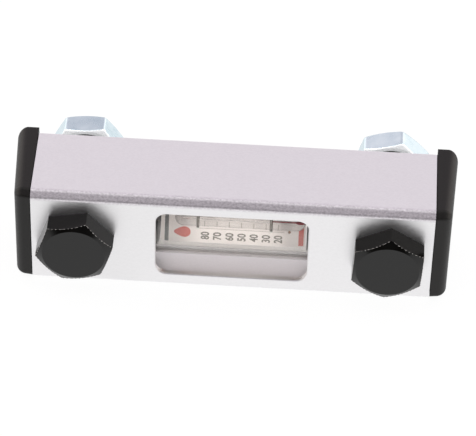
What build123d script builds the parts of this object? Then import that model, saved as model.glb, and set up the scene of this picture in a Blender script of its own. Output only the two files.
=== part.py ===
from build123d import *
import os
from math import cos, radians, sin, sqrt

# Tank level gauge with a thermometer: an aluminium channel with a window, a clear sight tube
# behind it, a moulded end piece in each end, and two hollow bolts that fix it to a tank wall.
#
# Frame: X runs along the gauge, from its upper end in use (-X) to its lower end (+X). The front
# faces -Y, and Z runs across it. The origin lies on the mounting plane (the tank wall's face),
# midway between the two bolt axes. All sizes are in millimetres.

# ---- Channel housing ------------------------------------------------------------------------
BOLT_SPACING = 76.0  # the standard spacing of the two fixing holes in the tank
HOUSING_LENGTH = 97.5
HOUSING_WIDTH = 29.0
HOUSING_DEPTH = 22.0
HOUSING_WALL = 1.3
HOUSING_CHAMFER = 1.5  # on the two long front corners
HOUSING_BEND_RADIUS = 1.2  # where the chamfers meet the front and the sides
HOUSING_REAR_RADIUS = 0.45  # on the two long rear edges
WINDOW_LENGTH = 37.0
WINDOW_HEIGHT = 20.0
WINDOW_RADIUS = 2.8
WINDOW_EDGE_BREAK = 0.2
STANDOFF = 2.0  # the housing's rear edges stay this far off the tank wall

# ---- End pieces -----------------------------------------------------------------------------
CAP_THICKNESS = 5.2  # at the rear
CAP_TAPER = 1.4  # the cap is this much thinner at the front
CAP_SETBACK = 0.2  # the cap's front lies this far behind the housing's at the joint
CAP_DRAFT = 0.5  # and this much more at its outer face
CAP_EDGE_RADIUS = 2.4  # round the outer face
CAP_BEND_RADIUS = 1.2  # where the chamfers meet the front and the sides
CAP_REAR_RADIUS = 0.4  # on the two long rear corners
CAP_GAP = 0.2  # shadow gap between the housing's end and the cap
BLOCK_CLEARANCE = 0.1  # all round the block in the channel
PAD_INSET = 0.8  # the pad that meets the tank wall is narrower than the block by this, each side
NOSE_LENGTH = 8.9  # the round nose that the tube is pushed over
NOSE_CLEARANCE = 0.25
NOSE_LEAD_IN = 0.6
NOSE_GROOVE_WIDTH = 2.3
NOSE_GROOVE_OFFSET = 3.2  # from the nose's tip to its groove
FLOW_DIAMETER = 6.0
POCKET_DEPTH = 17.0
POCKET_RADIUS = 0.5
POCKET_WALL = 1.3  # also the thickness of the ribs between the pockets

# ---- Sight tube and seals -------------------------------------------------------------------
TUBE_DIAMETER = 20.0
TUBE_WALL = 1.7
TUBE_LENGTH = 53.6
TUBE_FRONT_CLEARANCE = 0.2
TUBE_END_CLEARANCE = 0.2
NOSE_SEAL_SECTION = 1.6  # squeezed between the groove and the tube
HEAD_SEAL_SEAT_DEPTH = 1.6
WALL_SEAL_SECTION = 2.0
WALL_SEAL_SEAT_DEPTH = 1.8
SEAT_MARGIN = 0.3  # a seal's seat is wider than the seal by this
SEAL_CONTACT = 0.01

# ---- Hollow bolts and nuts ------------------------------------------------------------------
BOLT_DIAMETER = 10.0
THREAD_ROOT_DIAMETER = 8.4  # the threaded end is turned to its root here
HEAD_ACROSS_FLATS = 16.7
HEAD_HEIGHT = 5.4
HEAD_FACE_DIAMETER = 15.3
HEAD_CHAMFER_ANGLE = 30.0
BOLT_HOLE_CLEARANCE = 0.15  # in the end pieces, on the radius
HOUSING_HOLE_CLEARANCE = 0.25
NECK_DIAMETER = 8.4
NECK_START = 3.5  # from under the head
PLAIN_STUD_START = -1.5  # the full-diameter stretch that passes through the tank wall
PLAIN_STUD_END = 1.5
BOLT_PROJECTION = 13.2  # how far the bolt's end stands behind the mounting plane
BOLT_END_CHAMFER = 0.7
DRILLING_DIAMETER = 5.0
DRILL_POINT_ANGLE = 59.0
CROSS_HOLE_DIAMETER = 4.0
UPPER_HEAD_ANGLE = 11.6  # a corner's angle from +X, counter-clockwise seen from the front
LOWER_HEAD_ANGLE = 27.3
NUT_ACROSS_FLATS = 17.0
NUT_THICKNESS = 5.8
NUT_FACE_DIAMETER = 16.6
NUT_CHAMFER_ANGLE = 22.0
NUT_CORNER_RADIUS = 0.8
NUT_POSITION = 5.95  # the nut's near face, behind the mounting plane
NUT_THREAD_CLEARANCE = 0.1
NUT_COUNTERSINK = 0.9
UPPER_NUT_ANGLE = 64.0
LOWER_NUT_ANGLE = 75.4

# ---- Scale plate and thermometer ------------------------------------------------------------
PLATE_THICKNESS = 0.8
PLATE_CLEARANCE = 0.3  # to the tube on each side, and to the noses at the ends
PLATE_CORNER = 1.0
PLATE_TURN = 20.0  # degrees that the plate is turned about the tube's axis
THERMOMETER_DIAMETER = 4.0
THERMOMETER_TIP_GAP = 3.8  # from the upper nose to the sealed tip
THERMOMETER_BULB_GAP = 0.5  # from the bulb's end to the lower nose
THERMOMETER_CLEARANCE = 0.05
CAPILLARY_DIAMETER = 0.5
CAPILLARY_TIP_WALL = 1.7  # the glass above the bore's upper end
BULB_LENGTH = 1.5
BULB_DIAMETER = 2.4
BULB_WALL = 0.6
LIQUID_CLEARANCE = 0.02
READING_C = 25.0
SCALE_TOP_C = 80.0
SCALE_TOP_DISTANCE = 7.35  # from the thermometer's tip to the scale's top mark
SCALE_PITCH = 0.3  # per degree Celsius
CLIP_WIRE = 0.7
CLIP_CLEARANCE = 0.1
UPPER_CLIP_DISTANCE = 5.7  # from the thermometer's tip
LOWER_CLIP_DISTANCE = 8.3  # from the end of its bulb
CLIP_FOOT = 1.6
CLIP_BEND_RADIUS = 0.7
PLATE_HOLE_CLEARANCE = 0.1
INDEX_HOLE_DISTANCE = 4.0  # from the plate's lower end
INDEX_HOLE_OFFSET = -3.6
INDEX_HOLE_DIAMETER = 0.8

# ---- Places worked out from the sizes above -------------------------------------------------
half_length = HOUSING_LENGTH / 2
half_width = HOUSING_WIDTH / 2
rear_y = -STANDOFF
front_y = rear_y - HOUSING_DEPTH
inside_front_y = front_y + HOUSING_WALL
inside_half_width = half_width - HOUSING_WALL
cap_x = half_length + CAP_GAP
cap_end_x = cap_x + CAP_THICKNESS
bolt_x = BOLT_SPACING / 2
bolt_r = BOLT_DIAMETER / 2
tube_r = TUBE_DIAMETER / 2
tube_inner_r = tube_r - TUBE_WALL
tube_y = inside_front_y + TUBE_FRONT_CLEARANCE + tube_r
shoulder_x = TUBE_LENGTH / 2 + TUBE_END_CLEARANCE
nose_x = shoulder_x - NOSE_LENGTH
nose_r = tube_inner_r - NOSE_CLEARANCE
block_front_y = inside_front_y + BLOCK_CLEARANCE
block_half_width = inside_half_width - BLOCK_CLEARANCE
bore_r = bolt_r + BOLT_HOLE_CLEARANCE
thread_r = THREAD_ROOT_DIAMETER / 2
head_seal_r = (HEAD_SEAL_SEAT_DEPTH + BLOCK_CLEARANCE) / 2 - SEAL_CONTACT
head_seal_seat_r = bolt_r + 2 * head_seal_r + SEAT_MARGIN
wall_seal_r = WALL_SEAL_SECTION / 2
wall_seal_seat_r = bolt_r + WALL_SEAL_SECTION + SEAT_MARGIN
nose_groove_r = tube_inner_r - NOSE_SEAL_SECTION
nose_groove_x = nose_x + NOSE_GROOVE_OFFSET + NOSE_GROOVE_WIDTH / 2
plate_half_width = tube_inner_r - PLATE_CLEARANCE
plate_half_length = nose_x - PLATE_CLEARANCE
thermometer_r = THERMOMETER_DIAMETER / 2
thermometer_height = PLATE_THICKNESS / 2 + THERMOMETER_CLEARANCE + thermometer_r
thermometer_start = THERMOMETER_TIP_GAP - nose_x
thermometer_end = nose_x - THERMOMETER_BULB_GAP
clip_r = thermometer_r + CLIP_CLEARANCE + CLIP_WIRE / 2
upper_clip_x = thermometer_start + UPPER_CLIP_DISTANCE
lower_clip_x = thermometer_end - LOWER_CLIP_DISTANCE
scale_top_x = thermometer_start + SCALE_TOP_DISTANCE
liquid_top_x = scale_top_x + (SCALE_TOP_C - READING_C) * SCALE_PITCH

# A plane whose local x and y are the gauge's Y and Z, for sections that run along X.
SECTION = Plane(origin=(0, 0, 0), x_dir=(0, 1, 0), z_dir=(1, 0, 0))
# A plane whose local x and y are the gauge's X and Z, facing the front.
FRONT = Plane(origin=(0, 0, 0), x_dir=(1, 0, 0), z_dir=(0, -1, 0))
# A plane whose local x and y are the gauge's X and Z, facing the tank.
REAR = Plane(origin=(0, 0, 0), x_dir=(-1, 0, 0), z_dir=(0, 1, 0))
# The scale plate's own frame: local x along the gauge, y across the plate, z out of its face.
PLATE = Plane(
    origin=(0, tube_y, 0),
    x_dir=(1, 0, 0),
    z_dir=(0, -cos(radians(PLATE_TURN)), sin(radians(PLATE_TURN))),
)


def along_x(x, y, z=0.0):
    """A place whose local z axis points along +X."""
    return Location(Plane(origin=(x, y, z), z_dir=(1, 0, 0)))


def along_y(x, y, z=0.0):
    """A place whose local z axis points along +Y, away from the front."""
    return Location(Plane(origin=(x, y, z), x_dir=(1, 0, 0), z_dir=(0, 1, 0)))


def rod(place, radius, start, end):
    """A cylinder along a place's local z, from start to end."""
    return place * Pos(0, 0, (start + end) / 2) * Cylinder(radius, end - start)


def turned(place, points):
    """A solid turned about a place's local z from half-section points (radius, height)."""
    section = Plane.XZ * make_face(Polyline(*points, close=True))
    return place * revolve(section, Axis.Z)


def ring(place, major_r, section_r):
    """A round seal about a place's local z."""
    return place * Torus(major_r, section_r)


# ---- Housing --------------------------------------------------------------------------------
def channel_section():
    """The extruded channel's section: open to the rear, its front corners chamfered."""
    outer = Pos((front_y + rear_y) / 2, 0) * Rectangle(HOUSING_DEPTH, HOUSING_WIDTH)
    outer = fillet(outer.vertices().group_by(Axis.X)[-1], HOUSING_REAR_RADIUS)
    outer = chamfer(outer.vertices().group_by(Axis.X)[0], HOUSING_CHAMFER)
    bends = outer.vertices().group_by(Axis.X)[0] + outer.vertices().group_by(Axis.X)[1]
    outer = fillet(bends, HOUSING_BEND_RADIUS)
    hollow = Pos((inside_front_y + rear_y) / 2, 0) * Rectangle(rear_y - inside_front_y, 2 * inside_half_width)
    inner_chamfer = HOUSING_CHAMFER - HOUSING_WALL * (2 - sqrt(2))
    hollow = chamfer(hollow.vertices().group_by(Axis.X)[0], inner_chamfer)
    return outer - hollow


def housing():
    """The channel with its window and the two holes for the bolts in its front wall."""
    body = extrude(SECTION * channel_section(), half_length, both=True)
    wall_plane = FRONT.offset(-front_y)
    opening = RectangleRounded(WINDOW_LENGTH, WINDOW_HEIGHT, WINDOW_RADIUS)
    body -= extrude(wall_plane * opening, -2 * HOUSING_WALL)
    rim = body.edges().filter_by(lambda e: abs(e.center().Y - front_y) < 1e-6 and abs(e.center().X) < bolt_x / 2)
    rim = rim.filter_by(lambda e: abs(e.center().Z) < half_width - HOUSING_CHAMFER - HOUSING_WALL)
    body = chamfer(rim, WINDOW_EDGE_BREAK)
    for x in (-bolt_x, bolt_x):
        body -= rod(along_y(x, front_y), bolt_r + HOUSING_HOLE_CLEARANCE, -1, 2 * HOUSING_WALL)
    return body


# ---- End pieces -----------------------------------------------------------------------------
def cap():
    """The visible cap: as wide as the housing, tapered to the front, its edges rounded."""
    front = front_y + CAP_SETBACK
    side = Polyline(
        (cap_x, front),
        (cap_end_x - CAP_TAPER, front + CAP_DRAFT),
        (cap_end_x, 0),
        (cap_x, 0),
        close=True,
    )
    body = extrude(make_face(side), half_width, both=True)
    front_edges = body.faces().sort_by(Axis.Y)[0].edges()
    body = chamfer(front_edges.group_by(Axis.Z)[0] + front_edges.group_by(Axis.Z)[-1], HOUSING_CHAMFER)
    rear_edges = body.edges().filter_by(Axis.X).group_by(Axis.Y)[-1]
    body = fillet(rear_edges, CAP_REAR_RADIUS)
    outer_face = body.faces().sort_by(Axis.X)[-1]
    body = fillet(outer_face.edges(), CAP_EDGE_RADIUS)
    long_edges = body.edges().filter_by(lambda edge: abs(edge.tangent_at(0.5).X) > 0.9)
    return fillet(long_edges.filter_by_position(Axis.Y, front_y, front_y / 2), CAP_BEND_RADIUS)


def block():
    """The block that fills the channel's end, with the pad that meets the tank wall."""
    length = cap_x - shoulder_x
    depth = rear_y - block_front_y
    section = Pos((block_front_y + rear_y) / 2, 0) * Rectangle(depth, 2 * block_half_width)
    section = chamfer(section.vertices().group_by(Axis.X)[0], HOUSING_CHAMFER - HOUSING_WALL * (2 - sqrt(2)))
    body = extrude(SECTION.offset(shoulder_x) * section, length)
    pad_half_width = block_half_width - PAD_INSET
    pad = Pos(shoulder_x + length / 2, rear_y + STANDOFF / 2) * Box(length, STANDOFF, 2 * pad_half_width)
    return body + pad


def nose():
    """The round nose that carries the tube: a groove for its seal and a lead-in at its tip."""
    groove_start = nose_x + NOSE_GROOVE_OFFSET
    groove_end = groove_start + NOSE_GROOVE_WIDTH
    profile = [
        (0, nose_x),
        (nose_r - NOSE_LEAD_IN, nose_x),
        (nose_r, nose_x + NOSE_LEAD_IN),
        (nose_r, groove_start),
        (nose_groove_r, groove_start),
        (nose_groove_r, groove_end),
        (nose_r, groove_end),
        (nose_r, shoulder_x + POCKET_WALL),
        (0, shoulder_x + POCKET_WALL),
    ]
    return turned(along_x(0, tube_y), profile)


def pocket_outlines():
    """The pockets that core out the block, with ribs round the bolt, the flow and across."""
    start = shoulder_x + POCKET_WALL
    end = cap_end_x - CAP_TAPER - POCKET_WALL
    half = block_half_width - PAD_INSET - POCKET_WALL
    cores = Pos((start + end) / 2, 0) * Rectangle(end - start, 2 * half)
    cores -= Pos(bolt_x, 0) * Circle(wall_seal_seat_r + POCKET_WALL)
    cores -= Pos(bolt_x, 0) * Rectangle(POCKET_WALL, HOUSING_WIDTH)
    flow_length = bolt_x - start
    cores -= Pos(start + flow_length / 2, 0) * Rectangle(flow_length, FLOW_DIAMETER + 2 * POCKET_WALL)
    return [offset(offset(core, -POCKET_RADIUS), POCKET_RADIUS, kind=Kind.ARC) for core in cores.faces()]


def end_piece():
    """The lower moulded end piece, all in one: cap, block, pad, nose, bores, seats and pockets."""
    body = cap() + block() + nose()
    bolt_axis = along_y(bolt_x, 0)
    body -= rod(bolt_axis, bore_r, front_y, 1)
    body -= rod(bolt_axis, head_seal_seat_r, block_front_y - 1, block_front_y + HEAD_SEAL_SEAT_DEPTH)
    body -= rod(bolt_axis, wall_seal_seat_r, -WALL_SEAL_SEAT_DEPTH, 1)
    body -= rod(along_x(0, tube_y), FLOW_DIAMETER / 2, nose_x - 1, bolt_x)
    for outline in pocket_outlines():
        body -= extrude(FRONT * outline, POCKET_DEPTH)
    return body


# ---- Tube and seals -------------------------------------------------------------------------
def sight_tube():
    """The clear tube between the two end pieces."""
    axis = along_x(0, tube_y)
    end = TUBE_LENGTH / 2
    return rod(axis, tube_r, -end, end) - rod(axis, tube_inner_r, -end, end)


def tube_seal(side):
    """The seal in a nose's groove, squeezed against the tube's bore."""
    section_r = NOSE_SEAL_SECTION / 2 - SEAL_CONTACT
    return ring(along_x(side * nose_groove_x, tube_y), nose_groove_r + NOSE_SEAL_SECTION / 2, section_r)


def head_seal(side):
    """The seal round the bolt, squeezed between the end piece and the housing's front wall."""
    y = inside_front_y + head_seal_r + SEAL_CONTACT
    return ring(along_y(side * bolt_x, y), bolt_r + SEAL_CONTACT + head_seal_r, head_seal_r)


def wall_seal(side):
    """The tank wall's seal, loose on the bolt and lying against the nut."""
    y = NUT_POSITION - wall_seal_r - SEAL_CONTACT
    return ring(along_y(side * bolt_x, y), bolt_r + SEAL_CONTACT + wall_seal_r, wall_seal_r)


# ---- Bolts and nuts -------------------------------------------------------------------------
def hexagon(across_flats, angle, x, start, end):
    """A hexagonal prism along Y with one corner at this angle from +X."""
    outline = RegularPolygon(across_flats / sqrt(3), 6, rotation=angle)
    return extrude(Plane(origin=(x, end, 0), x_dir=(1, 0, 0), z_dir=(0, -1, 0)) * outline, end - start)


def chamfer_drop(across_flats, face_diameter, angle):
    """How far a hexagon's corners lie behind its turned face, and the corners' radius."""
    corner_r = across_flats / sqrt(3)
    slope = sin(radians(angle)) / cos(radians(angle))
    return (corner_r - face_diameter / 2) * slope, corner_r


def hollow_bolt(side, head_angle):
    """A hollow hexagon bolt: fluid enters at its threaded end and leaves by the cross hole."""
    x = side * bolt_x
    axis = along_y(x, 0)
    head_y = front_y - HEAD_HEIGHT
    drop, corner_r = chamfer_drop(HEAD_ACROSS_FLATS, HEAD_FACE_DIAMETER, HEAD_CHAMFER_ANGLE)
    turned_head = [
        (0, head_y),
        (HEAD_FACE_DIAMETER / 2, head_y),
        (corner_r, head_y + drop),
        (corner_r, front_y),
        (0, front_y),
    ]
    head = hexagon(HEAD_ACROSS_FLATS, head_angle, x, head_y, front_y) & turned(axis, turned_head)
    neck_r = NECK_DIAMETER / 2
    shank = [
        (0, front_y),
        (bolt_r, front_y),
        (bolt_r, front_y + NECK_START),
        (neck_r, front_y + NECK_START + bolt_r - neck_r),
        (neck_r, PLAIN_STUD_START - bolt_r + neck_r),
        (bolt_r, PLAIN_STUD_START),
        (bolt_r, PLAIN_STUD_END),
        (thread_r, PLAIN_STUD_END + bolt_r - thread_r),
        (thread_r, BOLT_PROJECTION - BOLT_END_CHAMFER),
        (thread_r - BOLT_END_CHAMFER, BOLT_PROJECTION),
        (0, BOLT_PROJECTION),
    ]
    drill_r = DRILLING_DIAMETER / 2
    drill_end = tube_y - CROSS_HOLE_DIAMETER / 2
    point = drill_r * cos(radians(DRILL_POINT_ANGLE)) / sin(radians(DRILL_POINT_ANGLE))
    drilling = [
        (0, drill_end - point),
        (drill_r, drill_end),
        (drill_r, BOLT_PROJECTION + 1),
        (0, BOLT_PROJECTION + 1),
    ]
    cross_hole = rod(along_x(x, tube_y), CROSS_HOLE_DIAMETER / 2, -bolt_r, bolt_r)
    return head + turned(axis, shank) - turned(axis, drilling) - cross_hole


def nut(side, angle):
    """A thin hexagon nut, chamfered on both faces and countersunk at both ends of its bore."""
    x = side * bolt_x
    near, far = NUT_POSITION, NUT_POSITION + NUT_THICKNESS
    drop, corner_r = chamfer_drop(NUT_ACROSS_FLATS, NUT_FACE_DIAMETER, NUT_CHAMFER_ANGLE)
    bore = thread_r + NUT_THREAD_CLEARANCE
    turned_body = [
        (bore + NUT_COUNTERSINK, near),
        (NUT_FACE_DIAMETER / 2, near),
        (corner_r, near + drop),
        (corner_r, far - drop),
        (NUT_FACE_DIAMETER / 2, far),
        (bore + NUT_COUNTERSINK, far),
        (bore, far - NUT_COUNTERSINK),
        (bore, near + NUT_COUNTERSINK),
    ]
    prism = hexagon(NUT_ACROSS_FLATS, angle, x, near, far)
    prism = fillet(prism.edges().filter_by(Axis.Y), NUT_CORNER_RADIUS)
    return prism & turned(along_y(x, 0), turned_body)


# ---- Scale plate and thermometer ------------------------------------------------------------
def scale_plate():
    """The plate in the tube, with the clips' holes and one index hole."""
    outline = RectangleRounded(2 * plate_half_length, 2 * plate_half_width, PLATE_CORNER)
    body = extrude(outline, PLATE_THICKNESS / 2, both=True)
    hole_r = CLIP_WIRE / 2 + PLATE_HOLE_CLEARANCE
    for x in (upper_clip_x, lower_clip_x):
        for y in (-clip_r, clip_r):
            body -= Pos(x, y) * Cylinder(hole_r, 2 * PLATE_THICKNESS)
    index_hole_x = plate_half_length - INDEX_HOLE_DISTANCE
    body -= Pos(index_hole_x, INDEX_HOLE_OFFSET) * Cylinder(INDEX_HOLE_DIAMETER / 2, 2 * PLATE_THICKNESS)
    return PLATE * body


def thermometer_axis():
    """The place of the thermometer's axis: local z along the gauge, in front of the plate."""
    return PLATE.location * Location(Plane(origin=(0, 0, thermometer_height), z_dir=(1, 0, 0)))


def bulb_start():
    return thermometer_end - BULB_WALL - BULB_LENGTH


def thermometer_glass():
    """The glass rod with rounded ends, its fine bore and the chamber of its bulb."""
    axis = thermometer_axis()
    straight_start = thermometer_start + thermometer_r
    straight_end = thermometer_end - thermometer_r
    body = rod(axis, thermometer_r, straight_start, straight_end)
    for end in (straight_start, straight_end):
        body += axis * Pos(0, 0, end) * Sphere(thermometer_r)
    bulb_r = BULB_DIAMETER / 2
    capillary_r = CAPILLARY_DIAMETER / 2
    capillary_start = thermometer_start + CAPILLARY_TIP_WALL
    chamber = [
        (0, capillary_start),
        (capillary_r, capillary_start),
        (capillary_r, bulb_start()),
        (bulb_r / 2, bulb_start()),
        (bulb_r, bulb_start() + bulb_r / 2),
        (bulb_r, bulb_start() + bulb_r),
        (bulb_r / 2, bulb_start() + BULB_LENGTH),
        (0, bulb_start() + BULB_LENGTH),
    ]
    return body - turned(axis, chamber)


def thermometer_liquid():
    """The red liquid: the bulb's filling and the column up to the reading."""
    bulb_r = BULB_DIAMETER / 2 - LIQUID_CLEARANCE
    column_r = CAPILLARY_DIAMETER / 2 - LIQUID_CLEARANCE
    start = bulb_start() + LIQUID_CLEARANCE
    end = bulb_start() + BULB_LENGTH - LIQUID_CLEARANCE
    profile = [
        (0, liquid_top_x),
        (column_r, liquid_top_x),
        (column_r, start),
        (bulb_r / 2, start),
        (bulb_r, start + bulb_r / 2),
        (bulb_r, start + bulb_r),
        (bulb_r / 2, end),
        (0, end),
    ]
    return turned(thermometer_axis(), profile)


def clip(x):
    """A wire clip over the thermometer: its legs pass through the plate and turn inwards."""
    arch_y = thermometer_height
    foot_z = -PLATE_THICKNESS / 2 - CLIP_WIRE / 2 - CLIP_CLEARANCE
    foot_end = clip_r - CLIP_FOOT
    bend = CLIP_BEND_RADIUS
    legs = []
    for side in (-1, 1):
        down = Line((side * clip_r, arch_y), (side * clip_r, foot_z + bend))
        turn = RadiusArc((side * clip_r, foot_z + bend), (side * (clip_r - bend), foot_z), side * bend)
        foot = Line((side * (clip_r - bend), foot_z), (side * foot_end, foot_z))
        legs.append((down, turn, foot))
    arch = RadiusArc((-clip_r, arch_y), (clip_r, arch_y), clip_r)
    route = Wire([*legs[0], arch, *legs[1]])
    plane = Plane(origin=(x, 0, 0), x_dir=(0, 1, 0), z_dir=(1, 0, 0))
    path = plane * route
    start = path @ 0
    wire = Plane(origin=start, z_dir=path % 0) * Circle(CLIP_WIRE / 2)
    return PLATE.location * sweep(wire, path=path)


def main():
    lower_end_piece = end_piece()
    nodes = {
        "housing": housing(),
        "upper_end_piece": mirror(lower_end_piece, about=Plane.YZ),
        "lower_end_piece": lower_end_piece,
        "sight_tube": sight_tube(),
        "upper_tube_seal": tube_seal(-1),
        "lower_tube_seal": tube_seal(1),
        "upper_hollow_bolt": hollow_bolt(-1, UPPER_HEAD_ANGLE),
        "lower_hollow_bolt": hollow_bolt(1, LOWER_HEAD_ANGLE),
        "upper_head_seal": head_seal(-1),
        "lower_head_seal": head_seal(1),
        "upper_wall_seal": wall_seal(-1),
        "lower_wall_seal": wall_seal(1),
        "upper_nut": nut(-1, UPPER_NUT_ANGLE),
        "lower_nut": nut(1, LOWER_NUT_ANGLE),
        "scale_plate": scale_plate(),
        "thermometer_glass": thermometer_glass(),
        "thermometer_liquid": thermometer_liquid(),
        "upper_clip": clip(upper_clip_x),
        "lower_clip": clip(lower_clip_x),
    }
    os.makedirs("parts", exist_ok=True)
    for name, shape in nodes.items():
        export_step(shape, f"parts/{name}.step")


main()
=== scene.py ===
import math

import bmesh
import bpy
from mathutils import Matrix, Vector


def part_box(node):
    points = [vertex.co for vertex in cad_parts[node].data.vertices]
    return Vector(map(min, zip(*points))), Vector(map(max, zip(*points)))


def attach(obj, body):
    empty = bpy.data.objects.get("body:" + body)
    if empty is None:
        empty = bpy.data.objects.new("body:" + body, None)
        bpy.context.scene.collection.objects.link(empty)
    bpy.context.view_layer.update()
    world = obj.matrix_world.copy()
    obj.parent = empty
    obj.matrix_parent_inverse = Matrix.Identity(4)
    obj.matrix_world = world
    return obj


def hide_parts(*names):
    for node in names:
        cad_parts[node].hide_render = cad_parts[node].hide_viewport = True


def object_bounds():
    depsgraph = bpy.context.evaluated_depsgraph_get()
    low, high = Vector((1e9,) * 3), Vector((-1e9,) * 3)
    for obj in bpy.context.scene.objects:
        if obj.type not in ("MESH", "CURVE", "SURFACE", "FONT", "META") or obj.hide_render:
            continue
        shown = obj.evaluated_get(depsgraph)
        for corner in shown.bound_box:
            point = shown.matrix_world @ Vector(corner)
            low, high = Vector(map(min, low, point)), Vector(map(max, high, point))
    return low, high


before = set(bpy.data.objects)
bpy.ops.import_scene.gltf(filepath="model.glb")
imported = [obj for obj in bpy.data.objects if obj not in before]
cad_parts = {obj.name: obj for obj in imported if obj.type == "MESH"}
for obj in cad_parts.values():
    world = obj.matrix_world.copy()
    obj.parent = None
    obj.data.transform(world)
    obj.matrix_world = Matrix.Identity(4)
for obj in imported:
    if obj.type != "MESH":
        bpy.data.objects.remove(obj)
cad_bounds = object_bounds()

# ---- Sizes: lengths in metres, angles in degrees ---------------------------------------------
MM = 0.001

LENS_MM = 231.1
SENSOR_MM = 36.0
CAMERA_PLACE = Vector((20.3, -553.7, 518.8)) * MM
CAMERA_YAW = -2.047
CAMERA_DOWN = 43.815
CAMERA_ROLL = 1.74

# The upper chamfer's coarse speckled grain and painted shade, by z less y: where they start and
# where they are full.
SPECKLE_SHADE_START = 36.1 * MM
SPECKLE_SHADE_FULL = 36.9 * MM

TUBE_WALL = 1.7 * MM
TUBE_EASE = 0.25 * MM
CLEAR_IOR = 1.5
GLASS_DIAMETER = 4.0 * MM
BORE_DIAMETER = 0.5 * MM
BORE_START = -12.6 * MM
COLUMN_RADIUS = 0.11 * MM
BULB_RADIUS = 0.3 * MM
BULB_LENGTH = 1.4 * MM
CLIP_FOOT = 1.6 * MM  # from the plate's middle to where a clip's white foot, a painted highlight, begins

# The scale plate's print: x along the gauge, s across the plate, both from its middle.
PLATE_TURN = 20.0
PLATE_THICKNESS = 0.8 * MM
PRINT_LIFT = 0.015 * MM
SCALE_TOP_X = -6.95 * MM
SCALE_TOP_C = 80.0
DEGREE = 0.3 * MM
CELSIUS = range(20, 81, 10)
CELSIUS_S = -5.8 * MM
CELSIUS_HEIGHT = 2.1 * MM
FAHRENHEIT = range(80, 181, 20)
FAHRENHEIT_S = 5.8 * MM
FAHRENHEIT_HEIGHT = 1.9 * MM
TWO_DIGITS = 2.2 * MM
THREE_DIGITS = 3.1 * MM
SCALE_LINE_S = -3.75 * MM
SCALE_LINE_WIDTH = 0.1 * MM
SCALE_LINE_SPARE = 3 * MM  # the line is longer than its scale by this
FAHRENHEIT_TICK = (3.4 * MM, 0.18 * MM, 1.0 * MM)  # s, width, length
HIGHEST_BAR = (-16.4 * MM, 0, 0.95 * MM, 15.9 * MM)  # x, s, width, length
LOWEST_BAR = (16.7 * MM, 0, 1.25 * MM, 14.8 * MM)
DROP_X = -12.0 * MM
DROP_S = -5.0 * MM
DROP_RADIUS = 1.5 * MM
DROP_POINT = 0.75  # how much further the drop's point reaches than its round end
INDEX_X = 13.8 * MM
INDEX_S = -3.6 * MM
INDEX_RADIUS = 0.36 * MM
INDEX_HALF_LENGTH = 0.3 * MM

# The rod's degree marks: half their width, their first and last angle, and their height.
ROD_TICK_HALF = 0.09 * MM
ROD_TICK_ARC = (-56, 4)
ROD_TICK_STEPS = 12
ROD_TICK_FOOT = 0.003 * MM
ROD_TICK_HEIGHT = 0.02 * MM

THREAD_PITCH = 1.5 * MM
THREAD_CREST = 4.95 * MM
THREAD_ROOT = 4.2 * MM
THREAD_SINK = 0.05 * MM  # the ridge's foot lies this far inside the root
THREAD_DEPTH = 0.3 * MM
THREAD_START = 2.3 * MM
THREAD_END = 0.5 * MM  # from the bolt's end
THREAD_RUNOUTS = (0.9 * MM, 0.7 * MM)

NUT_APOTHEM = 8.5 * MM
NUT_CORNER_ROUND = 0.8 * MM
NUT_FACE_RADIUS = 8.3 * MM
NUT_CHAMFER_ANGLE = 22.0
NUT_EDGE_ROUND = 0.5 * MM
NUT_BORE_RADIUS = 5.1 * MM
NUT_SINK = 0.9 * MM
NUT_CORNERS = {"upper": 64.0, "lower": 75.4}
SEAL_BORE_RADIUS = 5.0 * MM
SEAL_RADIUS = 7.4 * MM
SEAL_FRONT = 0.25 * MM  # the flat ring's front lies this far behind the round ring's
SEAL_EASE = 0.35 * MM
HEAD_APOTHEM = 8.35 * MM
HEAD_FACE_RADIUS = 7.65 * MM
HEAD_CHAMFER_ANGLE = 30.0
HEAD_CORNERS = {"upper": 11.6, "lower": 27.3}
HEX_HALF = math.radians(30)  # from the middle of a hexagon's side to its corner
# Painted highlights along the heads' edges, and how wide they are drawn.
GLINT_WIDTH = 0.20 * MM
GLINT_LEAST = 0.012 * MM
GLINT_DROP = 0.2 * MM  # one step of the painted highlight down a corner

FLOOR_HALF = 3.0
FLOOR_GAP = 0.02 * MM
FLOOR_COLOUR = (0.93, 0.93, 0.93, 1)
FLOOR_GLOW = 1.045
FLOOR_GLOW_SHARE = 0.9

# The surround's plain colour, and its patches: direction, the angles from it at which a patch is
# full and gone, and the colour that the surround is multiplied by.
SURROUND = (1.0, 1.0, 1.0)
PATCHES = [
    ((0, -0.97, 0.24), 16, 44, (0.55, 0.54, 0.55)),
    ((-0.66, -0.74, 0.10), 12, 38, (0.25, 0.25, 0.25)),
    ((0.66, -0.74, 0.10), 12, 38, (0.25, 0.25, 0.25)),
    ((0, -0.72, 0.69), 5, 40, (0.56, 0.53, 0.56)),
    ((0, 0.72, 0.69), 12, 48, (0.76, 0.71, 0.77)),
    ((-0.75, 0.6, 0.25), 15, 42, (1.65, 1.55, 1.50)),
    ((0.75, 0.6, 0.25), 15, 42, (1.65, 1.55, 1.50)),
    ((-0.98, -0.15, 0.12), 12, 38, (2.3, 2.15, 2.0)),
    ((0.98, -0.15, 0.12), 12, 38, (2.3, 2.15, 2.0)),
]
# Soft boxes, each for one group of pieces: name, place, size, power in watts, group.
LAMPS = [
    ("plate_left", (-0.65, -0.77, 0.45), 0.4, 5.8, "plate"),
    ("plate_right", (0.65, -0.77, 0.45), 0.4, 5.8, "plate"),
    ("nuts_left", (-0.61, -0.40, 0.84), 0.4, 6.0, "nuts"),
    ("nuts_right", (0.61, -0.40, 0.84), 0.4, 6.0, "nuts"),
]
LIT_BY = {"plate": [], "nuts": []}

tube_low, tube_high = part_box("sight_tube")
tube_centre = (tube_low + tube_high) / 2
tube_radius = (tube_high.z - tube_low.z) / 2

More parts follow.
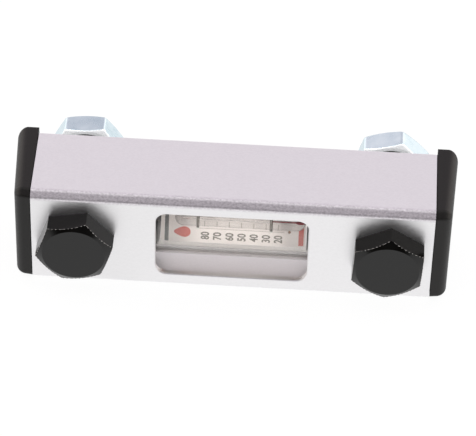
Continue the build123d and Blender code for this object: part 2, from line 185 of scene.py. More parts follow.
# The scale plate's own frame: x along the gauge, y across the plate, z out of its printed face.
turn = math.radians(PLATE_TURN)
PLATE = Matrix((
    (1, 0, 0, tube_centre.x),
    (0, math.sin(turn), -math.cos(turn), tube_centre.y),
    (0, math.cos(turn), math.sin(turn), tube_centre.z),
    (0, 0, 0, 1),
))


# ---- Small helpers --------------------------------------------------------------------------
def add_piece(name, mesh, material, slot, replaced=()):
    """A piece of the scene from a mesh, riding the gauge and lit with its like."""
    piece = bpy.data.objects.new(name, mesh)
    bpy.context.scene.collection.objects.link(piece)
    mesh.materials.clear()
    mesh.materials.append(material)
    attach(piece, "root")
    if replaced:
        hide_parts(*replaced)
    if slot == "scale_white":
        LIT_BY["plate"].append(piece)
    elif slot == "zinc":
        LIT_BY["nuts"].append(piece)
    return piece


def smooth(mesh, angle=30):
    """Smooth shading, apart from edges sharper than the angle."""
    mesh.shade_smooth()
    mesh.set_sharp_from_angle(angle=math.radians(angle))


def lathe(profile, segments, matrix):
    """A mesh turned about its local z from closed (radius, height) loops, placed by matrix."""
    verts, faces = [], []
    for loop in profile:
        base, count = len(verts), len(loop)
        for s in range(segments):
            a = 2 * math.pi * s / segments
            for r, h in loop:
                verts.append(matrix @ Vector((r * math.cos(a), r * math.sin(a), h)))
        for s in range(segments):
            t = (s + 1) % segments
            near, far = base + s * count, base + t * count
            for i in range(count):
                j = (i + 1) % count
                faces.append((near + i, far + i, far + j, near + j))
    mesh = bpy.data.meshes.new("lathe")
    mesh.from_pydata(verts, [], faces)
    bm = bmesh.new()
    bm.from_mesh(mesh)
    bmesh.ops.remove_doubles(bm, verts=bm.verts, dist=1e-8)
    bm.to_mesh(mesh)
    bm.free()
    mesh.update()
    return mesh


def mesh_of(name, bm):
    """A mesh made from a bmesh, which is freed."""
    mesh = bpy.data.meshes.new(name)
    bm.to_mesh(mesh)
    bm.free()
    return mesh


def outward(name, verts, faces):
    """A closed mesh with its faces turned outwards."""
    mesh = bpy.data.meshes.new(name)
    mesh.from_pydata(verts, [], faces)
    bm = bmesh.new()
    bm.from_mesh(mesh)
    bmesh.ops.recalc_face_normals(bm, faces=bm.faces)
    bm.to_mesh(mesh)
    bm.free()
    return mesh


def bridge(bm, first, second):
    """The four walls between two rings of four corners."""
    for q in range(4):
        r = (q + 1) % 4
        bm.faces.new((first[q], first[r], second[r], second[q]))


def along_x(x, y, z):
    """A place whose local z axis points along +X."""
    return Matrix.Translation((x, y, z)) @ Matrix.Rotation(math.radians(90), 4, "Y")


def rod_axis(low, high):
    """The place of a round rod along X, from its box."""
    return along_x(0, (low.y + high.y) / 2, (low.z + high.z) / 2)


def bolt_x(side):
    """Where a bolt's axis lies along the gauge, which is its nut's middle."""
    low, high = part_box(f"{side}_nut")
    return (low.x + high.x) / 2


# ---- Materials ------------------------------------------------------------------------------
def material(name):
    """A new material, its nodes, its links and its main shader."""
    mat = bpy.data.materials.new(name)
    mat.use_nodes = True
    return mat, mat.node_tree.nodes, mat.node_tree.links, mat.node_tree.nodes["Principled BSDF"]


def noise(nodes, links, scale, detail=4.0, stretch=(1, 1, 1)):
    """3-D noise in the object's own metres."""
    place = nodes.new("ShaderNodeTexCoord")
    mapping = nodes.new("ShaderNodeMapping")
    mapping.inputs["Scale"].default_value = stretch
    tex = nodes.new("ShaderNodeTexNoise")
    tex.inputs["Scale"].default_value = scale
    tex.inputs["Detail"].default_value = detail
    links.new(place.outputs["Object"], mapping.inputs["Vector"])
    links.new(mapping.outputs["Vector"], tex.inputs["Vector"])
    return tex.outputs["Fac"]


def ramp(nodes, links, value, low, high, start=0.3, end=0.7):
    """value from start to end, turned into a colour from low to high."""
    node = nodes.new("ShaderNodeValToRGB")
    node.color_ramp.elements[0].position = start
    node.color_ramp.elements[0].color = (*low, 1)
    node.color_ramp.elements[1].position = end
    node.color_ramp.elements[1].color = (*high, 1)
    links.new(value, node.inputs["Fac"])
    return node.outputs["Color"]


def spread(nodes, links, value, low, high, start=0.3, end=0.7):
    """value from start to end, turned into a number from low to high."""
    node = nodes.new("ShaderNodeMapRange")
    node.inputs["From Min"].default_value = start
    node.inputs["From Max"].default_value = end
    node.inputs["To Min"].default_value = low
    node.inputs["To Max"].default_value = high
    links.new(value, node.inputs["Value"])
    return node.outputs["Result"]


def bump(nodes, links, bsdf, height, distance, strength=1.0):
    node = nodes.new("ShaderNodeBump")
    node.inputs["Distance"].default_value = distance
    node.inputs["Strength"].default_value = strength
    links.new(height, node.inputs["Height"])
    links.new(node.outputs["Normal"], bsdf.inputs["Normal"])


def measure(nodes, links, coordinate, axis):
    """A texture coordinate measured along an axis of the object."""
    place = nodes.new("ShaderNodeTexCoord")
    dot = nodes.new("ShaderNodeVectorMath")
    dot.operation = "DOT_PRODUCT"
    dot.inputs[1].default_value = axis
    links.new(place.outputs[coordinate], dot.inputs[0])
    return dot.outputs["Value"]


def facing(nodes, links, direction, low, high):
    """0 to 1 as the surface's own normal turns towards a direction of the object."""
    turned = measure(nodes, links, "Normal", Vector(direction).normalized())
    return spread(nodes, links, turned, 0, 1, low, high)


def blend(nodes, links, share, first, second):
    """Two colours, each a socket or a tuple, mixed by share."""
    node = nodes.new("ShaderNodeMix")
    node.data_type = "RGBA"
    for index, value in ((0, share), (6, first), (7, second)):
        if isinstance(value, bpy.types.NodeSocket):
            links.new(value, node.inputs[index])
        else:
            node.inputs[index].default_value = (*value, 1) if index else value
    return node.outputs[2]


def blasted_aluminium():
    """Fine blasted metal; on the upper long chamfer a coarser speckled grain, darkened with
    painted shade.
    """
    mat, nodes, links, bsdf = material("blasted_aluminium")
    grain = noise(nodes, links, 2600, 3, (0.6, 1, 1))
    plain = ramp(nodes, links, grain, (0.84, 0.83, 0.84), (0.88, 0.87, 0.88))
    # Painted shade: the chamfer's grain is darker than the faces' grain and fades onto them.
    coarse = noise(nodes, links, 2300, 2, (0.7, 1, 1))
    speckle_and_shade = ramp(nodes, links, coarse, (0.58, 0.55, 0.58), (0.86, 0.82, 0.86))
    corner = measure(nodes, links, "Object", (0, -1, 1))
    shade_band = spread(nodes, links, corner, 0, 1, SPECKLE_SHADE_START, SPECKLE_SHADE_FULL)
    links.new(blend(nodes, links, shade_band, plain, speckle_and_shade), bsdf.inputs["Base Color"])
    bsdf.inputs["Metallic"].default_value = 1.0
    links.new(spread(nodes, links, grain, 0.34, 0.42), bsdf.inputs["Roughness"])
    bump(nodes, links, bsdf, grain, 0.02 * MM, 0.4)
    return mat


def moulded_black():
    mat, nodes, links, bsdf = material("moulded_black")
    grain = noise(nodes, links, 1800, 4)
    colour = ramp(nodes, links, grain, (0.0030, 0.0022, 0.0016), (0.0062, 0.0048, 0.0038))
    links.new(colour, bsdf.inputs["Base Color"])
    links.new(spread(nodes, links, grain, 0.36, 0.48), bsdf.inputs["Roughness"])
    bsdf.inputs["Specular IOR Level"].default_value = 0.33
    bump(nodes, links, bsdf, grain, 0.03 * MM, 0.5)
    return mat


def black_steel():
    """Oiled black steel, with painted shade: less reflection on the upper part of the heads'
    chamfers.
    """
    mat, nodes, links, bsdf = material("black_steel")
    cloud = noise(nodes, links, 420, 5)
    colour = ramp(nodes, links, cloud, (0.0012, 0.0010, 0.0006), (0.0022, 0.0018, 0.0012))
    links.new(colour, bsdf.inputs["Base Color"])
    links.new(spread(nodes, links, cloud, 0.17, 0.23), bsdf.inputs["Roughness"])
    # Painted shade: the chamfer faces turned this way reflect less, so they render darker.
    chamfer = facing(nodes, links, (0, -0.87, 0.5), 0.93, 0.99)
    links.new(spread(nodes, links, chamfer, 0.40, 0.10, 0, 1), bsdf.inputs["Specular IOR Level"])
    bump(nodes, links, bsdf, noise(nodes, links, 2200, 3), 0.012 * MM, 0.5)
    return mat


def bright_zinc():
    """Blue-passivated zinc: mirror-like flats, matt turned ends."""
    mat, nodes, links, bsdf = material("bright_zinc")
    cloud = noise(nodes, links, 300, 3)
    flats = ramp(nodes, links, cloud, (0.56, 0.68, 0.74), (0.66, 0.76, 0.81))
    end = facing(nodes, links, (0, -1, 0), 0.35, 0.75)
    links.new(blend(nodes, links, end, flats, (0.90, 0.92, 0.94)), bsdf.inputs["Base Color"])
    links.new(spread(nodes, links, end, 1.0, 0.15, 0, 1), bsdf.inputs["Metallic"])
    links.new(spread(nodes, links, cloud, 0.24, 0.34), bsdf.inputs["Roughness"])
    bump(nodes, links, bsdf, noise(nodes, links, 900, 3), 0.01 * MM, 0.4)
    return mat


# Pale metal for the painted highlights along the heads' edges.
def worn_steel():
    mat, nodes, links, bsdf = material("worn_steel")
    cloud = noise(nodes, links, 1500, 3)
    colour = ramp(nodes, links, cloud, (0.20, 0.19, 0.18), (0.70, 0.68, 0.66))
    links.new(colour, bsdf.inputs["Base Color"])
    bsdf.inputs["Metallic"].default_value = 0.2
    bsdf.inputs["Roughness"].default_value = 0.4
    return mat


def rubber():
    mat, nodes, links, bsdf = material("seal_rubber")
    grain = noise(nodes, links, 1500, 3)
    colour = ramp(nodes, links, grain, (0.010, 0.010, 0.010), (0.020, 0.020, 0.020))
    links.new(colour, bsdf.inputs["Base Color"])
    bsdf.inputs["Roughness"].default_value = 0.5
    return mat


def clear(name, tint, cloud_scale, matt=0.0):
    """Clear plastic or glass. Shadow rays pass, so that what is inside is lit."""
    mat, nodes, links, bsdf = material(name)
    bsdf.inputs["Base Color"].default_value = (*tint, 1)
    bsdf.inputs["Transmission Weight"].default_value = 1.0
    bsdf.inputs["IOR"].default_value = CLEAR_IOR
    haze = noise(nodes, links, cloud_scale, 2)
    links.new(spread(nodes, links, haze, matt, matt + 0.02), bsdf.inputs["Roughness"])
    path = nodes.new("ShaderNodeLightPath")
    passing = nodes.new("ShaderNodeBsdfTransparent")
    passing.inputs["Color"].default_value = (*tint, 1)
    mix = nodes.new("ShaderNodeMixShader")
    output = nodes["Material Output"]
    links.new(path.outputs["Is Shadow Ray"], mix.inputs["Fac"])
    links.new(bsdf.outputs["BSDF"], mix.inputs[1])
    links.new(passing.outputs["BSDF"], mix.inputs[2])
    links.new(mix.outputs["Shader"], output.inputs["Surface"])
    return mat


def enamel():
    mat, nodes, links, bsdf = material("white_enamel")
    cloud = noise(nodes, links, 250, 3)
    colour = ramp(nodes, links, cloud, (0.84, 0.78, 0.79), (0.90, 0.84, 0.85))
    links.new(colour, bsdf.inputs["Base Color"])
    bsdf.inputs["Roughness"].default_value = 0.4
    return mat


def ink(name, low, high):
    mat, nodes, links, bsdf = material(name)
    colour = ramp(nodes, links, noise(nodes, links, 2500, 3), low, high)
    links.new(colour, bsdf.inputs["Base Color"])
    bsdf.inputs["Roughness"].default_value = 0.5
    return mat


def drawn_wire():
    """Grey wire whose foot by the plate is white, a painted highlight."""
    mat, nodes, links, bsdf = material("drawn_wire")
    cloud = noise(nodes, links, 1200, 3)
    grey = ramp(nodes, links, cloud, (0.20, 0.19, 0.18), (0.34, 0.32, 0.30))
    across = PLATE.col[1].to_3d()
    foot = tube_centre.dot(across) - CLIP_FOOT
    height = measure(nodes, links, "Object", across)
    # Painted highlight: near the plate the wire is white and not metal.
    shank = spread(nodes, links, height, 0, 1, foot - 0.1 * MM, foot + 0.1 * MM)
    links.new(blend(nodes, links, shank, (0.98, 0.98, 0.98), grey), bsdf.inputs["Base Color"])
    links.new(shank, bsdf.inputs["Metallic"])
    bsdf.inputs["Roughness"].default_value = 0.35
    return mat


ALUMINIUM = blasted_aluminium()
BLACK_PLASTIC = moulded_black()
BLACK_STEEL = black_steel()
EDGE_GLINT_STEEL = worn_steel()
ZINC = bright_zinc()
RUBBER = rubber()
TUBE_PLASTIC = clear("tube_plastic", (0.987, 0.977, 0.947), 150, 0.035)
THERMOMETER_GLASS = clear("rod_glass", (0.99, 0.99, 0.99), 200)
ENAMEL = enamel()
DARK_INK = ink("dark_ink", (0.15, 0.135, 0.12), (0.21, 0.19, 0.175))
PALE_INK = ink("pale_ink", (0.34, 0.31, 0.29), (0.46, 0.42, 0.40))
BLACK_INK = ink("black_ink", (0.13, 0.13, 0.14), (0.19, 0.19, 0.20))
RED_INK = ink("red_ink", (0.58, 0.14, 0.12), (0.68, 0.18, 0.16))
RED_SPIRIT = ink("red_spirit", (0.72, 0.10, 0.11), (0.80, 0.13, 0.14))
BROWN_PAINT = ink("brown_paint", (0.32, 0.20, 0.15), (0.40, 0.26, 0.20))
WIRE = drawn_wire()

NODE_MATERIALS = {
    "housing": ALUMINIUM,
    "scale_plate": ENAMEL,
    "thermometer_liquid": RED_SPIRIT,
    "sight_tube": TUBE_PLASTIC,
    "thermometer_glass": THERMOMETER_GLASS,
}
for side in ("upper", "lower"):
    NODE_MATERIALS |= {
        f"{side}_end_piece": BLACK_PLASTIC,
        f"{side}_tube_seal": RUBBER,
        f"{side}_hollow_bolt": BLACK_STEEL,
        f"{side}_head_seal": RUBBER,
        f"{side}_wall_seal": RUBBER,
        f"{side}_nut": ZINC,
        f"{side}_clip": WIRE,
    }
LIT_BY["plate"] += [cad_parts[node] for node in ("scale_plate", "upper_clip", "lower_clip")]
for node, mat in NODE_MATERIALS.items():
    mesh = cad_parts[node].data
    mesh.materials.clear()
    mesh.materials.append(mat)


# ---- The tube and the thermometer -----------------------------------------------------------
def make_tube():
    """The sight tube with smooth walls and eased ends."""
    half = (tube_high.x - tube_low.x) / 2
    inner = tube_radius - TUBE_WALL
    ease = TUBE_EASE
    loop = [
        (inner, -half + ease),
        (inner + ease, -half),
        (tube_radius - ease, -half),
        (tube_radius, -half + ease),
        (tube_radius, half - ease),
        (tube_radius - ease, half),
        (inner + ease, half),
        (inner, half - ease),
    ]
    mesh = lathe([loop], 192, along_x(0, tube_centre.y, tube_centre.z))
    smooth(mesh)
    add_piece("clear_tube", mesh, TUBE_PLASTIC, "clear_tube", ["sight_tube"])


def make_thermometer():
    """The glass rod: round ends, and its fine bore as an inner wall."""
    low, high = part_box("thermometer_glass")
    radius = GLASS_DIAMETER / 2
    steps = 12
    loop = []
    for i in range(steps + 1):
        a = math.pi / 2 * i / steps
        loop.append((max(radius * math.sin(a), 0.0), low.x + radius - radius * math.cos(a)))
    for i in range(steps + 1):
        a = math.pi / 2 * (1 - i / steps)
        loop.append((max(radius * math.sin(a), 0.0), high.x - radius + radius * math.cos(a)))
    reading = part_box("thermometer_liquid")[0].x
    bore = BORE_DIAMETER / 2
    empty = [(0, reading), (bore, reading), (bore, BORE_START), (0, BORE_START)]
    mesh = lathe([loop, empty], 96, rod_axis(low, high))
    smooth(mesh)
    add_piece(
        "thermometer_rod", mesh, THERMOMETER_GLASS, "thermometer_glass", ["thermometer_glass"])


def make_liquid():
    """The red spirit: a hair-thin column and the filling of the bulb."""
    low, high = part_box("thermometer_liquid")
    thin, bulb = COLUMN_RADIUS, BULB_RADIUS
    start = high.x - BULB_LENGTH
    loop = [
        (0, low.x), (thin, low.x), (thin, start - 0.4 * MM), (bulb, start + 0.3 * MM),
        (bulb, high.x - 0.4 * MM), (bulb * 0.6, high.x), (0, high.x),
    ]
    mesh = lathe([loop], 48, rod_axis(low, high))
    smooth(mesh)
    add_piece("red_spirit_column", mesh, RED_SPIRIT, "red_liquid", ["thermometer_liquid"])


# ---- Print on the scale plate ---------------------------------------------------------------
def print_mesh(name, outlines):
    """Flat printed shapes just above the plate's face, each with a little thickness."""
    bm = bmesh.new()
    lift = PLATE_THICKNESS / 2 + PRINT_LIFT
    sink = -(PLATE.to_3x3() @ Vector((0, 0, PRINT_LIFT * 0.8)))
    for outline in outlines:
        verts = [bm.verts.new(PLATE @ Vector((x, y, lift))) for x, y in outline]
        face = bm.faces.new(verts)
        grown = bmesh.ops.extrude_face_region(bm, geom=[face])
        moved = [v for v in grown["geom"] if isinstance(v, bmesh.types.BMVert)]
        bmesh.ops.translate(bm, verts=moved, vec=sink)
    bmesh.ops.recalc_face_normals(bm, faces=bm.faces)
    return mesh_of(name, bm)


def bar(x, y, width, height):
    """The outline of a rectangle centred at x, y."""
    w, h = width / 2, height / 2
    return [(x - w, y - h), (x + w, y - h), (x + w, y + h), (x - w, y + h)]


def numeral(text, x, y, height, width):
    """A number of a given height and width, its top facing the gauge's upper end."""
    curve = bpy.data.curves.new("numeral", "FONT")
    curve.body = text
    curve.size = 2 * MM
    curve.offset = 0.05 * MM
    curve.extrude = PRINT_LIFT * 0.4
    curve.resolution_u = 4
    carrier = bpy.data.objects.new("numeral", curve)
    mesh = bpy.data.meshes.new_from_object(carrier)
    bpy.data.objects.remove(carrier)
    bpy.data.curves.remove(curve)
    low_x, high_x = min(v.co.x for v in mesh.vertices), max(v.co.x for v in mesh.vertices)
    low_y, high_y = min(v.co.y for v in mesh.vertices), max(v.co.y for v in mesh.vertices)
    centre = Matrix.Translation((-(low_x + high_x) / 2, -(low_y + high_y) / 2, 0))
    size = Matrix.Diagonal((width / (high_x - low_x), height / (high_y - low_y), 1, 1))
    lift = PLATE_THICKNESS / 2 + PRINT_LIFT * 0.6
    place = PLATE @ Matrix.Translation((x, y, lift)) @ Matrix.Rotation(math.radians(90), 4, "Z")
    mesh.transform(place @ size @ centre)
    return mesh


def join(name, meshes):
    """One mesh made from several, which are removed."""
    bm = bmesh.new()
    for mesh in meshes:
        bm.from_mesh(mesh)
        bpy.data.meshes.remove(mesh)
    return mesh_of(name, bm)


def scale_x(celsius):
    """Where a temperature lies along the gauge."""
    return SCALE_TOP_X + (SCALE_TOP_C - celsius) * DEGREE


def to_celsius(fahrenheit):
    return (fahrenheit - 32) / 1.8


def rod_ticks():
    """The degree marks, thin arcs over the front of the glass rod."""
    low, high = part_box("thermometer_glass")
    centre = Vector((0, (low.y + high.y) / 2, (low.z + high.z) / 2))
    inner, outer = GLASS_DIAMETER / 2 + ROD_TICK_FOOT, GLASS_DIAMETER / 2 + ROD_TICK_HEIGHT
    half = ROD_TICK_HALF
    section = ((-half, inner), (half, inner), (half, outer), (-half, outer))
    start, end = ROD_TICK_ARC
    bm = bmesh.new()
    for celsius in CELSIUS:
        x = scale_x(celsius)
        rows = []
        for i in range(ROD_TICK_STEPS + 1):
            a = math.radians(start + (end - start) * i / ROD_TICK_STEPS + PLATE_TURN)
            out = Vector((0, -math.cos(a), math.sin(a)))
            rows.append([bm.verts.new(Vector((x + dx, 0, 0)) + centre + out * r)
                         for dx, r in section])
        for first, second in zip(rows, rows[1:]):
            bridge(bm, first, second)
        bm.faces.new(rows[0])
        bm.faces.new(rows[-1])
    bmesh.ops.recalc_face_normals(bm, faces=bm.faces)
    return mesh_of("rod_ticks", bm)


def make_print():
    """The two scales, the tick marks, the highest and lowest level bars and a plain drop."""
    numerals = []
    for c in CELSIUS:
        numerals.append(numeral(str(c), scale_x(c), CELSIUS_S, CELSIUS_HEIGHT, TWO_DIGITS))
    for f in FAHRENHEIT:
        width = TWO_DIGITS if f < 100 else THREE_DIGITS
        x = scale_x(to_celsius(f))
        numerals.append(numeral(str(f), x, FAHRENHEIT_S, FAHRENHEIT_HEIGHT, width))
    add_piece("scale_numerals", join("scale_numerals", numerals), DARK_INK, "scale_white")
    first, last = scale_x(CELSIUS[-1]), scale_x(CELSIUS[0])
    length = last - first + SCALE_LINE_SPARE
    ticks = [bar((first + last) / 2, SCALE_LINE_S, length, SCALE_LINE_WIDTH)]
    for f in FAHRENHEIT:
        ticks.append(bar(scale_x(to_celsius(f)), *FAHRENHEIT_TICK))
    add_piece("scale_ticks", print_mesh("scale_ticks", ticks), PALE_INK, "scale_white")
    add_piece("rod_ticks", rod_ticks(), PALE_INK, "scale_white")
    drop = []
    for i in range(40):
        a = 2 * math.pi * i / 40
        stretch = 1 + DROP_POINT * max(0.0, -math.cos(a)) ** 3
        x = DROP_X + DROP_RADIUS * math.cos(a) * stretch
        drop.append((x, DROP_S + DROP_RADIUS * math.sin(a)))
    for name, outline, paint in (
        ("highest_level_bar", bar(*HIGHEST_BAR), BLACK_INK),
        ("lowest_level_bar", bar(*LOWEST_BAR), RED_INK),
        ("drop_mark", drop, RED_INK),
    ):
        add_piece(name, print_mesh(name, [outline]), paint, "scale_white")


# ---- Threads --------------------------------------------------------------------------------
def make_thread(side):
    """The thread's ridge on a bolt's rear end, run out at both ends."""
    x = bolt_x(side)
    start, end = THREAD_START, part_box(f"{side}_hollow_bolt")[1].y - THREAD_END
    first_runout, last_runout = THREAD_RUNOUTS
    rows, columns = 150, 60
    inner = THREAD_ROOT - THREAD_DEPTH
    verts, faces = [], []
    for i in range(rows + 1):
        y = start + (end - start) * i / rows
        runout = min(1.0, (y - start) / first_runout, (end - y) / last_runout)
        for j in range(columns):
            a = 2 * math.pi * j / columns
            phase = (y / THREAD_PITCH - j / columns) % 1.0
            ridge = min(1.0, max(0.0, 1.25 - 2.5 * abs(phase - 0.5)))
            r = THREAD_ROOT - THREAD_SINK + (THREAD_CREST - THREAD_ROOT) * ridge * runout
            verts.append((x + r * math.cos(a), y, r * math.sin(a)))
    for y in (start, end):
        for j in range(columns):
            a = 2 * math.pi * j / columns
            verts.append((x + inner * math.cos(a), y, inner * math.sin(a)))
    last, low_ring, high_ring = (row * columns for row in (rows, rows + 1, rows + 2))
    for j in range(columns):
        k = (j + 1) % columns
        for near in range(0, last, columns):
            far = near + columns
            faces.append((near + j, near + k, far + k, far + j))
        faces.append((low_ring + j, low_ring + k, k, j))
        faces.append((last + j, last + k, high_ring + k, high_ring + j))
        faces.append((high_ring + j, high_ring + k, low_ring + k, low_ring + j))
    mesh = outward(f"{side}_thread", verts, faces)
    smooth(mesh, 50)
    add_piece(f"{side}_thread", mesh, BLACK_STEEL, "black_steel")


# ---- Nuts, wall seals and painted highlights on the heads' edges ----------------------------
def hex_radius(degrees, apothem, corner):
    """A hexagon's radius at an angle from the middle of a flat, its corners rounded."""
    off = math.radians(abs((degrees + 30) % 60 - 30))
    centre = (apothem - corner) / math.cos(HEX_HALF)
    if math.tan(off) * apothem <= (apothem - corner) * math.tan(HEX_HALF):
        return apothem / math.cos(off)
    short = HEX_HALF - off
    return centre * math.cos(short) + math.sqrt(corner**2 - (centre * math.sin(short)) ** 2)


def soft_min(a, b, width):
    """The smaller of two lengths, rounded where they meet."""
    mix = max(0.0, min(1.0, 0.5 + 0.5 * (b - a) / width))
    return b + (a - b) * mix - width * mix * (1 - mix)


def make_nut(side):
    """A hexagon nut with rounded corners, rounded chamfers and a countersunk bore."""
    low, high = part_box(f"{side}_nut")
    x = bolt_x(side)
    columns, rows = 240, 26
    thickness = high.y - low.y
    slope = math.tan(math.radians(NUT_CHAMFER_ANGLE))
    rings = []
    for i in range(rows + 1):
        share = i / rows
        depth = thickness * (0.5 - 0.5 * math.cos(math.pi * share))
        reach = min(depth, thickness - depth)
        ring = []
        for j in range(columns):
            degrees = 360 * j / columns
            flat = hex_radius(degrees - NUT_CORNERS[side] - 30, NUT_APOTHEM, NUT_CORNER_ROUND)
            edge = NUT_FACE_RADIUS + reach / slope
            ring.append((degrees, soft_min(flat, edge, NUT_EDGE_ROUND), depth))
        rings.append(ring)
    bore, sink = NUT_BORE_RADIUS, NUT_SINK
    inner = [(bore + sink, thickness), (bore, thickness - sink), (bore, sink), (bore + sink, 0)]
    for radius, depth in inner:
        rings.append([(360 * j / columns, radius, depth) for j in range(columns)])
    verts, faces = [], []
    for ring in rings:
        for degrees, radius, depth in ring:
            a = math.radians(degrees)
            verts.append((x + radius * math.cos(a), low.y + depth, radius * math.sin(a)))
    for i in range(len(rings)):
        k = (i + 1) % len(rings)
        for j in range(columns):
            m = (j + 1) % columns
            faces.append((i * columns + j, i * columns + m, k * columns + m, k * columns + j))
    mesh = outward(f"{side}_zinc_nut", verts, faces)
    smooth(mesh, 40)
    add_piece(f"{side}_zinc_nut", mesh, ZINC, "zinc", [f"{side}_nut"])


def make_wall_seal(side):
    """The tank wall's seal, squeezed to a flat ring against the nut."""
    low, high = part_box(f"{side}_wall_seal")
    inner, outer, ease = SEAL_BORE_RADIUS, SEAL_RADIUS, SEAL_EASE
    front, back = low.y + SEAL_FRONT, high.y
    loop = [
        (inner, front + ease), (inner + ease, front), (outer - ease, front),
        (outer, front + ease), (outer, back), (inner, back),
    ]
    middle = Matrix.Translation(((low.x + high.x) / 2, 0, 0))
    place = middle @ Matrix.Rotation(math.radians(-90), 4, "X")
    mesh = lathe([loop], 128, place)
    smooth(mesh)
    add_piece(f"{side}_flat_seal", mesh, RUBBER, "seal_rubber", [f"{side}_wall_seal"])


def wobble(value):
    """A fixed, uneven number from 0 to 1."""
    return 0.5 + 0.25 * math.sin(value * 12.9898) + 0.25 * math.sin(value * 5.233 + 1.7)


def worn_line(bm, points, seed):
    """A thin broken ridge of pale metal along points, a painted highlight."""
    ring = None
    for i, point in enumerate(points):
        width = (wobble(seed + i * 0.37) - 0.30) * GLINT_WIDTH
        if width < GLINT_LEAST:
            ring = None
            continue
        along = (points[min(i + 1, len(points) - 1)] - points[max(i - 1, 0)]).normalized()
        side = along.cross(Vector((0, 1, 0))).normalized()
        up = side.cross(along)
        fresh = [bm.verts.new(point + (side * math.cos(a) + up * math.sin(a)) * width)
                 for a in (math.pi / 2 * q for q in range(4))]
        if ring:
            bridge(bm, ring, fresh)
        ring = fresh


def make_worn_edges(side):
    """Painted highlights along the edges between a head's flats and its chamfer, and down its
    corners.
    """
    x, face = bolt_x(side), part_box(f"{side}_hollow_bolt")[0].y
    slope = math.tan(math.radians(HEAD_CHAMFER_ANGLE))
    half = HEAD_APOTHEM * math.tan(HEX_HALF)
    bm = bmesh.new()
    for k in range(6):
        middle = math.radians(HEAD_CORNERS[side] + 30 + 60 * k)
        out = Vector((math.cos(middle), 0, math.sin(middle)))
        across = Vector((-math.sin(middle), 0, math.cos(middle)))
        points = []
        for i in range(41):
            t = half * (i / 20 - 1)
            radius = math.hypot(HEAD_APOTHEM, t)
            depth = (radius - HEAD_FACE_RADIUS) * slope
            points.append(Vector((x, face + depth, 0)) + out * HEAD_APOTHEM + across * t)
        worn_line(bm, points, 3.1 * k + (0 if side == "upper" else 9))
        corner = Vector((x, 0, 0)) + out * HEAD_APOTHEM + across * half
        start = points[-1].y
        drop = [corner + Vector((0, start + i * GLINT_DROP, 0)) for i in range(20)]
        worn_line(bm, drop, 1.3 * k + 5)
    bmesh.ops.recalc_face_normals(bm, faces=bm.faces)
    mesh = mesh_of(f"{side}_edge_glints", bm)
    add_piece(f"{side}_edge_glints", mesh, EDGE_GLINT_STEEL, "black_steel")


def make_index_pin():
    """The brown end of the pin in the plate's index hole."""
    radius, half = INDEX_RADIUS, INDEX_HALF_LENGTH
    loop = [(0, -half), (radius, -half), (radius, half), (0, radius)]
    mesh = lathe([loop], 32, PLATE @ Matrix.Translation((INDEX_X, INDEX_S, 0)))
    smooth(mesh)
    add_piece("index_pin", mesh, BROWN_PAINT, "scale_white")


# ---- Stage, camera and light ----------------------------------------------------------------
def make_floor():
    """A white floor that looks evenly white to the camera, and keeps the gauge's shadow."""
    size = FLOOR_HALF
    mesh = bpy.data.meshes.new("floor")
    z = cad_bounds[0].z - FLOOR_GAP
    corners = [(-size, -size, z), (size, -size, z), (size, size, z), (-size, size, z)]
    mesh.from_pydata(corners, [], [(0, 1, 2, 3)])
    floor = bpy.data.objects.new("floor", mesh)
    bpy.context.scene.collection.objects.link(floor)
    mat = bpy.data.materials.new("white_floor")
    mat.use_nodes = True
    nodes, links = mat.node_tree.nodes, mat.node_tree.links
    nodes.clear()
    diffuse = nodes.new("ShaderNodeBsdfDiffuse")
    diffuse.inputs["Color"].default_value = FLOOR_COLOUR
    glow = nodes.new("ShaderNodeEmission")
    glow.inputs["Strength"].default_value = FLOOR_GLOW
    path = nodes.new("ShaderNodeLightPath")
    share = nodes.new("ShaderNodeMath")
    share.operation = "MULTIPLY_ADD"
    share.inputs[1].default_value = FLOOR_GLOW_SHARE
    mix = nodes.new("ShaderNodeMixShader")
    output = nodes.new("ShaderNodeOutputMaterial")
    links.new(path.outputs["Is Camera Ray"], share.inputs[0])
    links.new(path.outputs["Is Glossy Ray"], share.inputs[2])
    links.new(share.outputs["Value"], mix.inputs["Fac"])
    links.new(diffuse.outputs["BSDF"], mix.inputs[1])
    links.new(glow.outputs["Emission"], mix.inputs[2])
    links.new(mix.outputs["Shader"], output.inputs["Surface"])
    mesh.materials.append(mat)


def make_camera():
    """The camera above and in front of the gauge, at the photograph's angle."""
    yaw, down, roll = (math.radians(a) for a in (CAMERA_YAW, CAMERA_DOWN, CAMERA_ROLL))
    level = math.cos(down)
    forward = Vector((math.sin(yaw) * level, math.cos(yaw) * level, -math.sin(down)))
    right = Vector((math.cos(yaw), -math.sin(yaw), 0))
    up = right.cross(forward)
    right_rolled = math.cos(roll) * right + math.sin(roll) * up
    up_rolled = math.cos(roll) * up - math.sin(roll) * right
    data = bpy.data.cameras.new("camera")
    data.lens = LENS_MM
    data.sensor_width = SENSOR_MM
    data.clip_start, data.clip_end = 0.01, 20
    camera = bpy.data.objects.new("camera", data)
    facing_gauge = Matrix((right_rolled, up_rolled, -forward)).transposed().to_4x4()
    camera.matrix_world = Matrix.Translation(CAMERA_PLACE) @ facing_gauge
    bpy.context.scene.collection.objects.link(camera)
    bpy.context.scene.camera = camera


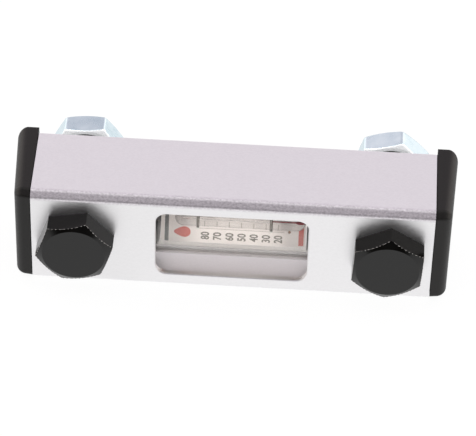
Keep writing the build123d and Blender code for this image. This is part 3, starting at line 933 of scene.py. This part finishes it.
def make_light():
    """A white surround seen in every surface, with soft patches where the studio is darker."""
    world = bpy.data.worlds.new("surround")
    bpy.context.scene.world = world
    world.use_nodes = True
    nodes, links = world.node_tree.nodes, world.node_tree.links
    nodes.clear()
    place = nodes.new("ShaderNodeTexCoord")
    level = nodes.new("ShaderNodeRGB")
    level.outputs[0].default_value = (*SURROUND, 1)
    colour = level.outputs[0]
    for direction, full, gone, tint in PATCHES:
        dot = nodes.new("ShaderNodeVectorMath")
        dot.operation = "DOT_PRODUCT"
        dot.inputs[1].default_value = Vector(direction).normalized()
        fade = nodes.new("ShaderNodeMapRange")
        fade.interpolation_type = "SMOOTHSTEP"
        fade.inputs["From Min"].default_value = math.cos(math.radians(gone))
        fade.inputs["From Max"].default_value = math.cos(math.radians(full))
        shade = nodes.new("ShaderNodeMix")
        shade.data_type = "RGBA"
        shade.blend_type = "MULTIPLY"
        shade.inputs[7].default_value = (*tint, 1)
        links.new(place.outputs["Generated"], dot.inputs[0])
        links.new(dot.outputs["Value"], fade.inputs["Value"])
        links.new(fade.outputs["Result"], shade.inputs[0])
        links.new(colour, shade.inputs[6])
        colour = shade.outputs[2]
    plain = nodes.new("ShaderNodeBackground")
    shaded = nodes.new("ShaderNodeBackground")
    path = nodes.new("ShaderNodeLightPath")
    mix = nodes.new("ShaderNodeMixShader")
    output = nodes.new("ShaderNodeOutputWorld")
    links.new(colour, shaded.inputs["Color"])
    links.new(path.outputs["Is Camera Ray"], mix.inputs["Fac"])
    links.new(shaded.outputs["Background"], mix.inputs[1])
    links.new(plain.outputs["Background"], mix.inputs[2])
    links.new(mix.outputs["Shader"], output.inputs["Surface"])
    for name, lamp_place, size, power, group in LAMPS:
        lamp = add_lamp(name, lamp_place, size, power)
        targets = bpy.data.collections.new(f"{name}_targets")
        for piece in LIT_BY[group]:
            targets.objects.link(piece)
        lamp.light_linking.receiver_collection = targets


def add_lamp(name, place, size, power):
    """A square soft box that faces the tube's middle."""
    data = bpy.data.lights.new(name, "AREA")
    data.shape = "SQUARE"
    data.size = size
    data.energy = power
    lamp = bpy.data.objects.new(name, data)
    lamp.location = place
    lamp.rotation_mode = "QUATERNION"
    lamp.rotation_quaternion = (tube_centre - Vector(place)).to_track_quat("-Z", "Y")
    bpy.context.scene.collection.objects.link(lamp)
    return lamp


make_tube()
make_thermometer()
make_liquid()
make_print()
make_index_pin()
for side in ("upper", "lower"):
    make_thread(side)
    make_nut(side)
    make_wall_seal(side)
    make_worn_edges(side)
make_floor()
make_camera()
make_light()
bpy.context.scene.view_settings.view_transform = "Standard"
